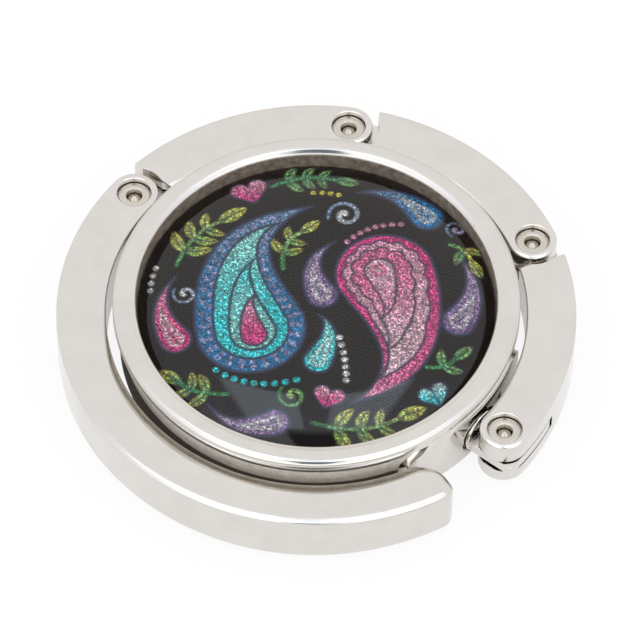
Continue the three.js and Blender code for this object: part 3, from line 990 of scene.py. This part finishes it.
    # sprigs along the border
    sprig((-2.9, 3.6), (-3.3, 6.6), (-1.3, 7.6), 2, 1.9, LEAF, YELLOW)
    sprig((-12.0, 4.0), (-11.0, 7.4), (-8.4, 8.7), 3, 2.7, LEAF, YELLOW)
    sprig((-4.0, 12.6), (-1.2, 14.2), (1.6, 13.4), 3, 2.0, GREEN, LEAF)
    sprig((11.4, 6.6), (13.0, 6.2), (13.2, 5.0), 1, 2.0, YELLOW, LEAF)
    sprig((-0.2, -12.2), (4.0, -13.6), (7.0, -11.6), 3, 2.6, LEAF, YELLOW)
    sprig((-7.4, -9.4), (-10.4, -9.4), (-11.4, -8.2), 2, 2.2, GREEN, YELLOW)
    sprig((9.4, -6.4), (11.0, -6.6), (11.8, -5.4), 1, 1.9, GREEN, LEAF)

    # hearts, scrolls and dots
    heart(-6.0, 12.4, 1.25, 0.35, MAGENTA, ROSE)
    heart(1.2, -9.4, 1.05, -0.3, MAGENTA, ROSE)
    heart(9.9, -8.9, 1.05, 0.5, TURQUOISE, SILVER)
    scroll(2.4, 9.5, 1.4, 3.4, 1.3, -1, 0.2, STEEL, SILVER)
    scroll(-11.2, 0.9, 0.95, 2.6, 1.2, 1, 0.15, STEEL, SILVER)
    scroll(-1.9, -9.6, 1.1, 2.4, 1.2, 1, 0.17, GREEN, LEAF)
    scroll(12.0, 8.4, 0.85, 4.2, 1.2, -1, 0.15, STEEL, LILAC)
    for first, bend, last, count, size, tint in (
            ((2.0, -3.6), (2.6, -6.0), (2.6, -8.0), 6, 0.27, SILVER),
            ((-8.4, -7.0), (-5.4, -9.2), (-1.6, -8.0), 8, 0.27, TURQUOISE),
            ((2.6, 6.6), (4.4, 8.6), (7.2, 8.6), 7, 0.24, PINK),
            ((-14.2, 1.4), (-14.2, 2.6), (-13.8, 3.8), 3, 0.26, SILVER),
            ((-0.4, 11.9), (0.8, 12.0), (1.8, 11.7), 3, 0.22, YELLOW)):
        dots(bent(first, bend, last, count), size, tint, tint)
    return np.clip(colour, 0.0, 1.0)


# ---- the ring

def ring_band():
    """The whole ring's rounded section, turned."""
    outline = corner(RING_INNER, RING_BOTTOM, UNDER_ROUND, 180, 4)
    outline += corner(RING_OUTER, RING_BOTTOM, UNDER_ROUND, 270, 4)
    edge = worn(TOP_CROWN, TOP_ROUND)
    outline += [(RING_OUTER - drawn, RING_TOP - down) for drawn, down in edge]
    outline += [(RING_INNER + drawn, RING_TOP - down) for drawn, down in reversed(edge)]
    outline.append(outline[0])
    return turned("ring", outline, hollow=True)


def ear():
    """The round end of a ring piece about the first rivet, with the ring's rounded edges."""
    outline = [(EAR_RADIUS - UNDER_ROUND, RING_BOTTOM)]
    outline += corner(EAR_RADIUS, RING_BOTTOM, UNDER_ROUND, -90, 4)[1:]
    outline += [(EAR_RADIUS - drawn, RING_TOP - down) for drawn, down in worn(TOP_CROWN, TOP_ROUND)]
    return turned("ear", outline, EAR_STEPS, FIRST_PIN)


def rivet_bore():
    """The cutter for a rivet's hole and both its counterbores, with broken edges."""
    wide, lead = COUNTERBORE_RADIUS, 0.04
    return turned("rivet_bore", [
        (wide + lead + PAST, RING_BOTTOM - PAST), (wide + lead, RING_BOTTOM), (wide, RING_BOTTOM + lead),
        (wide, LOWER_SEAT), (RIVET_HOLE, LOWER_SEAT), (RIVET_HOLE, UPPER_SEAT), (wide, UPPER_SEAT),
        (wide, RING_TOP - lead), (wide + lead, RING_TOP), (wide + lead + PAST, RING_TOP + PAST),
    ], SMALL_STEPS, FIRST_PIN)


def room(radius, side, bottom, top):
    """The cutter for a neighbour's room at a hinge: squared past the horns, and round about the pin."""
    far = EAR_RADIUS + PAST
    half_width = (RING_OUTER - RING_INNER) / 2 + PAST
    at_setback = math.asin(HORN_SETBACK / radius)
    at_side = math.acos(min(1.0, half_width / radius))
    start = max(at_setback, at_side)
    points = [(-half_width, -far), (half_width, -far)]
    if at_setback > at_side:
        points.append((half_width, HORN_SETBACK))
    for step in range(SMALL_STEPS + 1):
        angle = start + (math.pi - 2 * start) * step / SMALL_STEPS
        points.append((radius * math.cos(angle), radius * math.sin(angle)))
    if at_setback > at_side:
        points.append((-half_width, HORN_SETBACK))
    return outlined("room", [(PIN_CIRCLE + x, -side * y) for x, y in points], bottom, top)


def add_ears(piece, slot_radius):
    join(piece, ear())
    subtract(piece, room(slot_radius, -1, SLOT_BOTTOM, SLOT_TOP))


def make_link(name, slot_radius):
    link = ring_band()
    link.name = name
    keep_side(link, (0.0, 1.0))
    end = math.radians(LINK_ANGLE)
    keep_side(link, (math.sin(end), -math.cos(end)))
    for low, high in ((RING_BOTTOM - PAST, TONGUE_BOTTOM), (TONGUE_TOP, RING_TOP + PAST)):
        subtract(link, turn_about_axis(room(SHOULDER_RADIUS, 1, low, high), LINK_ANGLE))
    join(link, turn_about_axis(rod("tongue", EAR_RADIUS, TONGUE_BOTTOM, TONGUE_TOP, EAR_STEPS), LINK_ANGLE))
    add_ears(link, slot_radius)
    hole = turn_about_axis(rod("hole", RIVET_HOLE, RING_BOTTOM, RING_TOP), LINK_ANGLE)
    subtract(link, rivet_bore(), hole)
    return smooth(soften(link))


def make_hook():
    """The hook is drawn up over its outline, so that its edges can change on the way to the tip: the outer
    edge widens to a crown, the inner edge opens to a bevel for the finger, and the tip is rounded."""
    outer_end = HOOK_SWEEP - math.degrees(TIP_OUTER_ROUND / RING_OUTER)
    inner_end = HOOK_SWEEP - math.degrees(TIP_INNER_ROUND / RING_INNER)
    plain = worn(TOP_CROWN, TOP_ROUND)
    outline, edges, unders = [], [], []

    def outer_edge(degrees):
        wide = blend(plain, worn(HOOK_CROWN, TOP_ROUND), eased(degrees, *CROWN_WIDENS))
        return blend(wide, worn(TIP_CROWN, TIP_TOP_ROUND), eased(degrees, *TIP_EDGE_RUN))

    def inner_edge(degrees):
        turn = math.radians(degrees - FINGER_BEVEL_DIRECTION)
        width = FINGER_BEVEL_GROW + FINGER_BEVEL_OFFSET * math.cos(turn)
        bevel = finger_bevel(max(width, FINGER_BEVEL_LEAST))
        return blend(plain, bevel, eased(width, *FINGER_BEVEL_OPENS))

    def under_round(degrees, run):
        return UNDER_ROUND + (TIP_UNDER_ROUND - UNDER_ROUND) * eased(degrees, *run)

    def add(point, edge, under):
        outline.append(point)
        edges.append(edge)
        unders.append(under)

    steps = round(outer_end / 2)
    for step in range(steps + 1):
        degrees = outer_end * step / steps
        add(at(RING_OUTER, degrees), outer_edge(degrees), under_round(degrees, UNDER_OUTER_RUN))
    end_edge = worn(TIP_CROWN, TIP_END_ROUND)
    tip = rounded(at(RING_OUTER, outer_end), at(RING_OUTER, HOOK_SWEEP),
                  at(RING_OUTER - TIP_OUTER_ROUND, HOOK_SWEEP))
    for index, point in enumerate(tip[1:], 1):
        add(point, blend(outer_edge(outer_end), end_edge, index / (len(tip) - 1)), TIP_UNDER_ROUND)
    tip = rounded(at(RING_INNER + TIP_INNER_ROUND, HOOK_SWEEP), at(RING_INNER, HOOK_SWEEP),
                  at(RING_INNER, inner_end))
    for index, point in enumerate(tip):
        share = eased(index / (len(tip) - 1), 0.2, 1.0)
        add(point, blend(end_edge, inner_edge(inner_end), share), TIP_UNDER_ROUND)
    steps = round(inner_end / 2)
    for step in range(1, steps + 1):
        degrees = inner_end * (1 - step / steps)
        add(at(RING_INNER, degrees), inner_edge(degrees), under_round(degrees, UNDER_INNER_RUN))
    levels = []
    for step in range(5):
        turn = math.radians(22.5 * step)
        levels.append([(under * (1 - math.sin(turn)), RING_BOTTOM + under * (1 - math.cos(turn)))
                       for under in unders])
    for step in range(len(plain)):
        levels.append([(edge[step][0], RING_TOP - edge[step][1]) for edge in edges])
    hook = lofted("cast_hook", outline, levels)
    add_ears(hook, SHOULDER_RADIUS)
    soften(subtract(hook, rivet_bore()))
    return smooth(turn_about_axis(hook, 180.0))


def broken(radius, inner, outer, edge):
    """The rim of a flange, with broken edges."""
    return [(radius - edge, inner), (radius, inner + edge), (radius, outer - edge), (radius - edge, outer)]


def make_knuckle():
    flange = along_swivel("swivel_knuckle_cast", broken(KNUCKLE_RADIUS, KNUCKLE_INNER, KNUCKLE_OUTER, 0.08),
                          ROUND_PIECE_STEPS)
    neck = block("neck", (KNUCKLE_OUTER - 0.2, -KNUCKLE_HALF_WIDTH, TONGUE_BOTTOM),
                 (PIN_CIRCLE, KNUCKLE_HALF_WIDTH, TONGUE_TOP))
    tongue = turned("tongue_band", [(RING_INNER, TONGUE_BOTTOM), (RING_OUTER, TONGUE_BOTTOM),
                                    (RING_OUTER, TONGUE_TOP), (RING_INNER, TONGUE_TOP),
                                    (RING_INNER, TONGUE_BOTTOM)], hollow=True)
    reach = rod("reach", KNUCKLE_REACH, TONGUE_BOTTOM - PAST, TONGUE_TOP + PAST, EAR_STEPS)
    combine(tongue, reach, "INTERSECT")
    keep_side(tongue, (0.0, 1.0), (PIN_CIRCLE, -KNUCKLE_HALF_WIDTH))
    shank = along_swivel("shank", [(SHANK_RADIUS, PEEN_OUTER - 0.1), (SHANK_RADIUS, KNUCKLE_INNER + 0.1)])
    peen = along_swivel("peen", [(PEEN_RADIUS - 0.3, PEEN_INNER), (PEEN_RADIUS - 0.1, PEEN_INNER + 0.05),
                                 (PEEN_RADIUS, PEEN_INNER + 0.2), (PEEN_RADIUS, PEEN_OUTER)])
    join(flange, neck, tongue, shank, peen)
    subtract(flange, rod("hole", RIVET_HOLE, RING_BOTTOM, RING_TOP))
    return smooth(soften(flange))


def make_collar():
    outline = [(SHANK_BORE, COLLAR_INNER), *broken(KNUCKLE_RADIUS, COLLAR_INNER, COLLAR_OUTER, 0.1),
               (SHANK_BORE, COLLAR_OUTER), (SHANK_BORE, COLLAR_INNER)]
    return smooth(along_swivel("pressed_collar", outline, ROUND_PIECE_STEPS, hollow=True))


def make_sleeve():
    edge = 0.08
    top = UPPER_SEAT + FLANGE_THICKNESS
    outline = [(SLEEVE_BORE, SLEEVE_BOTTOM), (SLEEVE_RADIUS, SLEEVE_BOTTOM), (SLEEVE_RADIUS, UPPER_SEAT),
               (FLANGE_RADIUS - edge, UPPER_SEAT), (FLANGE_RADIUS, UPPER_SEAT + edge)]
    outline += corner(FLANGE_RADIUS, top, edge, 0, 3)
    outline += corner(SLEEVE_BORE, top, edge, 90, 3)
    outline.append((SLEEVE_BORE, SLEEVE_BOTTOM))
    return smooth(turned("sleeve", outline, SMALL_STEPS, FIRST_PIN, hollow=True))


def make_pin():
    edge = 0.1
    head = LOWER_SEAT - FLANGE_THICKNESS
    outline = [(FLANGE_RADIUS - edge, head), (FLANGE_RADIUS, head + edge), (FLANGE_RADIUS, LOWER_SEAT),
               (PIN_RADIUS, LOWER_SEAT)]
    outline += [(PIN_RADIUS - drawn, PIN_TOP - down) for drawn, down in PIN_DOME]
    return smooth(turned("pin", outline, SMALL_STEPS, FIRST_PIN), 50.0)


# ---- assembly

def dress(piece, finish, body, slot, *nodes):
    """The piece takes its finish, rides on its body and stands for its CAD node."""
    piece.data.materials.clear()
    piece.data.materials.append(finish)
    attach(piece, body)
    if nodes:
        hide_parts(*nodes)
    return piece


dress(make_base(), base_plating, "base", "plated_casting", "base_body")
dress(make_print(), print_finish(), "base", "glitter_print", "print_disc")
dress(make_resin(), resin_finish(), "base", "clear_resin", "resin_dome")
dress(make_pad(), rubber_finish(), "base", "black_rubber", "friction_pad")
dress(make_collar(), rivet_plating, "base", "plated_rivet", "swivel_collar")
dress(make_knuckle(), plating, "knuckle", "plated_casting", "swivel_knuckle")

RIVETED = ("first_link", "second_link", "third_link", "bag_hook")
links = [make_link("cast_link_1", KNUCKLE_SLOT_RADIUS), make_link("cast_link_2", SHOULDER_RADIUS)]
links.append(copy_of(links[1], "cast_link_3"))
for number, (link, body) in enumerate(zip(links, RIVETED)):
    turn_about_axis(link, number * LINK_ANGLE)
    dress(link, plating, body, "plated_casting", f"link_{number + 1}")
dress(make_hook(), plating, "bag_hook", "plated_casting", "hook")

patterns = (("flanged_sleeve", "rivet_sleeve", make_sleeve()), ("headed_pin", "rivet_pin", make_pin()))
for number, body in enumerate(RIVETED, 1):
    for name, stands_for, pattern in patterns:
        piece = copy_of(pattern, f"{name}_{number}")
        turn_about_axis(piece, LINK_ANGLE * (number - 1))
        dress(piece, rivet_plating, body, "plated_rivet", f"{stands_for}_{number}")
for _, _, pattern in patterns:
    bpy.data.objects.remove(pattern, do_unlink=True)

for name, finish in (("pad_adhesive", tape_finish()), ("swivel_washer", rivet_plating)):
    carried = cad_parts[name]
    carried.data.materials.clear()
    carried.data.materials.append(finish)


# ---- studio

def add_camera():
    """The camera at the photograph's angle, with the disc's axis at its place in the picture."""
    bpy.ops.object.camera_add()
    camera = named("camera")
    turn, lean, roll = (Matrix.Rotation(math.radians(angle), 4, axis) for angle, axis in (
        (PLAN_TURN, "Z"), (90.0 - ELEVATION, "X"), (ROLL, "Z")))
    across, down = ((place - PICTURE / 2) / PIXELS_PER_MM * MM for place in AIM)
    camera.matrix_world = turn @ lean @ roll @ Matrix.Translation((-across, down, CAMERA_DISTANCE * MM))
    camera.data.sensor_width = SENSOR
    camera.data.lens = PIXELS_PER_MM * CAMERA_DISTANCE / PICTURE * SENSOR
    camera.data.clip_start, camera.data.clip_end = 0.01, 20.0
    bpy.context.scene.camera = camera


def add_studio():
    """A white sweep all round, brighter above the front, with a dark line at the front horizon, two small
    soft boxes overhead, and the dark of the camera. Its ramps run in degrees: over the top from the front
    horizon, and to the side from the middle."""
    world = bpy.data.worlds.new("studio")
    bpy.context.scene.world = world
    world.use_nodes = True
    tree = world.node_tree
    place = node(tree, "TexCoord").outputs["Generated"]
    plan = node(tree, "VectorRotate", {"Vector": place, "Angle": math.radians(-PLAN_TURN)},
                rotation_type="Z_AXIS")
    side, back, up = node(tree, "SeparateXYZ", {0: plan.outputs[0]}).outputs
    over = spread(tree, maths(tree, "ARCTAN2", up, times(tree, back, -1.0)), 0.0, math.pi)
    lateral = maths(tree, "ABSOLUTE", maths(tree, "ARCSINE", side))

    def by_degrees(value, full, stops):
        return ramp(tree, value, [(degrees / full, colour) for degrees, colour in stops])

    sweep = by_degrees(over, 180, [
        (0, (0.1, 0.075, 0.065)), (9, (0.1, 0.075, 0.065)), (14, 1.45), (84, 1.45),
        (98, (1.15, 1.15, 1.28)), (112, (0.98, 0.98, 0.99)), (140, (0.98, 0.97, 0.96)),
        (161, (0.93, 0.9, 0.87)), (176, (0.8, 0.75, 0.7))])
    wide = by_degrees(maths(tree, "DIVIDE", lateral, math.radians(90)), 90, [(36, 0.0), (54, 1.0)])
    sweep = mixed(tree, wide, sweep, (0.97, 0.96, 0.95))
    near = maths(tree, "DIVIDE", lateral, math.radians(20))
    boxes = times(tree, by_degrees(near, 20, [(2, 0.0), (2.6, 1.0), (13, 1.0), (15, 0.0)]),
                  by_degrees(over, 180, [(91, 0.0), (93, 1.0), (111, 1.0), (112, 0.0)]))
    lit = mixed(tree, boxes, sweep, (2.4, 2.7, 3.0))
    shade = times(tree, by_degrees(near, 20, [(5.6, 1.0), (6.6, 0.0)]),
                  by_degrees(over, 180, [(42, 0.0), (45, 1.0), (88, 1.0), (93, 0.0)]))
    shade_tint = by_degrees(over, 180, [(86, (0.17, 0.19, 0.22)), (97, (0.12, 0.12, 0.13))])
    seen = mixed(tree, shade, lit, shade_tint)
    sky = mixed(tree, maths(tree, "LESS_THAN", up, 0.0), seen, (0.95, 0.95, 0.95))
    path = node(tree, "LightPath").outputs
    wire(tree, tree.nodes["Background"],
         {"Color": mixed(tree, path["Is Camera Ray"], sky, (1.0, 1.0, 1.0)), "Strength": 1.0})


def add_floor():
    """A plain white table that keeps a faint shadow. It lies a little below the pad."""
    bpy.ops.object.select_all(action="DESELECT")
    bpy.ops.mesh.primitive_plane_add(size=FLOOR_SIZE, location=(0.0, 0.0, -FLOOR_GAP * MM))
    floor = named("table")
    finish, tree, shader = material("white table")
    wire(tree, shader, {"Base Color": (0.9, 0.9, 0.9, 1.0), "Roughness": 0.9})
    glow = node(tree, "Emission", {"Color": (1.0, 1.0, 1.0, 1.0), "Strength": 1.0})
    path = node(tree, "LightPath").outputs
    sky_seen = node(tree, "AmbientOcclusion", {"Distance": SHADOW_REACH * MM}, samples=8).outputs["AO"]
    mirrored = times(tree, spread(tree, sky_seen, 0.1, 0.55, 0.45, 0.95),
                     maths(tree, "MAXIMUM", path["Is Glossy Ray"], path["Is Transmission Ray"]))
    seen = maths(tree, "MAXIMUM", times(tree, path["Is Camera Ray"], 0.9), mirrored)
    both = node(tree, "MixShader", {0: seen, 1: shader.outputs[0], 2: glow.outputs[0]})
    wire(tree, tree.nodes["Material Output"], {"Surface": both.outputs[0]})
    floor.data.materials.append(finish)


add_camera()
add_studio()
add_floor()
bpy.context.scene.view_settings.view_transform = "Standard"
